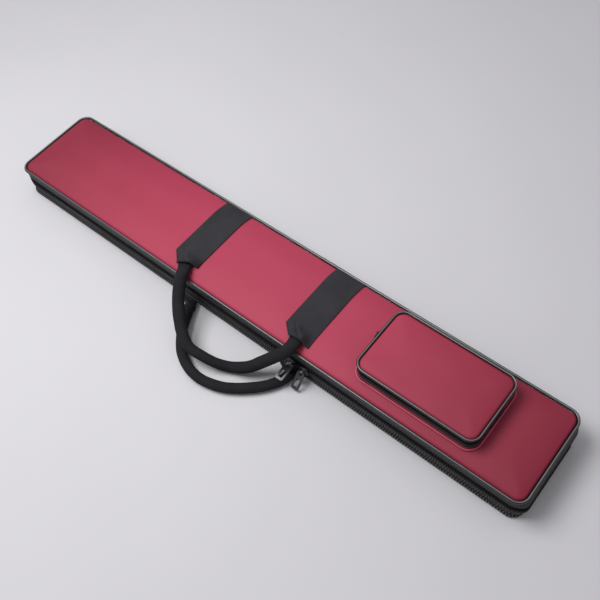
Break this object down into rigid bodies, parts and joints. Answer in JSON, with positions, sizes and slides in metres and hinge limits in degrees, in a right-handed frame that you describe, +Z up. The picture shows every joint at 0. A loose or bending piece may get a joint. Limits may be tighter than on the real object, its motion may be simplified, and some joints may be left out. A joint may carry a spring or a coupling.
{
  "type": "cue case",
  "caption": "Soft zipped clamshell case for two-piece cues, with webbing carry handles, padded channels inside and a zipped pocket on the lid.",
  "frame": {"origin": "middle of the flat underside of the base, which the case rests on", "axes": "+X along the case towards the end with the pocket, -Y towards the zip and the handles, +Z up out of the lid"},
  "size_m": [0.83, 0.22, 0.0809],
  "materials": {
    "red_fabric": "coated polyester weave over foam, satin",
    "charcoal_fabric": "woven nylon tape, matte",
    "webbing": "heavy nylon webbing, matte",
    "piping_vinyl": "smooth vinyl piping, glossy",
    "zip_chain": "moulded nylon coil, satin",
    "plush_lining": "short pile plush over foam",
    "handle_core": "braided cord filler",
    "gunmetal": "polished black nickel",
    "black_metal": "black enamel, semi-gloss"
  },
  "bodies": {
    "base": {"base_panel": "red_fabric", "base_gusset": "charcoal_fabric", "base_back_gusset": "charcoal_fabric", "base_zip_tape": "charcoal_fabric", "base_zip_chain": "zip_chain", "base_piping": "piping_vinyl", "base_liner": "plush_lining", "divider_near": "plush_lining", "divider_far": "plush_lining", "end_pad_left": "plush_lining", "end_pad_right": "plush_lining", "hinge_tape": "charcoal_fabric", "zip_end_tab_left": "webbing", "zip_end_tab_right": "webbing", "base_strap_left": "webbing", "base_strap_right": "webbing"},
    "lid": {"lid_panel": "red_fabric", "lid_gusset": "charcoal_fabric", "lid_back_gusset": "charcoal_fabric", "lid_zip_tape": "charcoal_fabric", "lid_zip_chain": "zip_chain", "lid_piping": "piping_vinyl", "lid_liner": "plush_lining", "lid_strap_left": "webbing", "lid_strap_right": "webbing", "pocket_gusset": "red_fabric", "pocket_back_gusset": "red_fabric", "pocket_welt": "red_fabric", "pocket_zip_tape": "charcoal_fabric", "pocket_zip_chain": "zip_chain", "pocket_top_strip": "red_fabric", "pocket_back_piping": "piping_vinyl"},
    "pocket_flap": {"pocket_flap_panel": "red_fabric", "pocket_flap_piping": "piping_vinyl", "pocket_flap_zip_tape": "charcoal_fabric", "pocket_flap_zip_chain": "zip_chain"},
    "pocket_slider": {"pocket_zip_slider": "black_metal"},
    "pocket_pull": {"pocket_zip_pull": "black_metal"},
    "lid_handle": {"lid_handle_sleeve": "webbing", "lid_handle_core": "handle_core"},
    "base_handle": {"base_handle_sleeve": "webbing", "base_handle_core": "handle_core"},
    "slider_left": {"zip_slider_left": "gunmetal"},
    "pull_left": {"zip_pull_left": "gunmetal"},
    "slider_right": {"zip_slider_right": "gunmetal"},
    "pull_right": {"zip_pull_right": "gunmetal"}
  },
  "joints": [
    {"name": "lid_hinge", "type": "hinge", "parent": "base", "child": "lid", "pos_m": [0, 0.0634, 0.021], "axis": [-1, 0, 0], "range_deg": [0, 110]},
    {"name": "lid_handle_swing", "type": "hinge", "parent": "lid", "child": "lid_handle", "pos_m": [0, -0.051, 0.062], "axis": [-1, 0, 0], "range_deg": [0, 120]},
    {"name": "base_handle_swing", "type": "hinge", "parent": "base", "child": "base_handle", "pos_m": [0, -0.0752, 0.0073], "axis": [-1, 0, 0], "range_deg": [-60, 0]},
    {"name": "slider_left_travel", "type": "slide", "parent": "base", "child": "slider_left", "axis": [-1, 0, 0], "range_m": [0, 0.48]},
    {"name": "slider_right_travel", "type": "slide", "parent": "base", "child": "slider_right", "axis": [1, 0, 0], "range_m": [0, 0.26]},
    {"name": "pull_left_swing", "type": "hinge", "parent": "slider_left", "child": "pull_left", "pos_m": [0.1, -0.0695, 0.021], "axis": [-1, 0, 0], "range_deg": [0, 20]},
    {"name": "pull_right_swing", "type": "hinge", "parent": "slider_right", "child": "pull_right", "pos_m": [0.1185, -0.0695, 0.021], "axis": [-1, 0, 0], "range_deg": [-20, 125]},
    {"name": "pocket_flap_fold", "type": "hinge", "parent": "lid", "child": "pocket_flap", "pos_m": [0.261, 0.014, 0.0809], "axis": [-1, 0, 0], "range_deg": [0, 110]},
    {"name": "pocket_slider_travel", "type": "slide", "parent": "lid", "child": "pocket_slider", "axis": [0, -1, 0], "range_m": [0, 0.03]},
    {"name": "pocket_pull_swing", "type": "hinge", "parent": "pocket_slider", "child": "pocket_pull", "pos_m": [0.17664, 0.008, 0.0685], "axis": [0, 1, 0], "range_deg": [0, 100]}
  ]
}
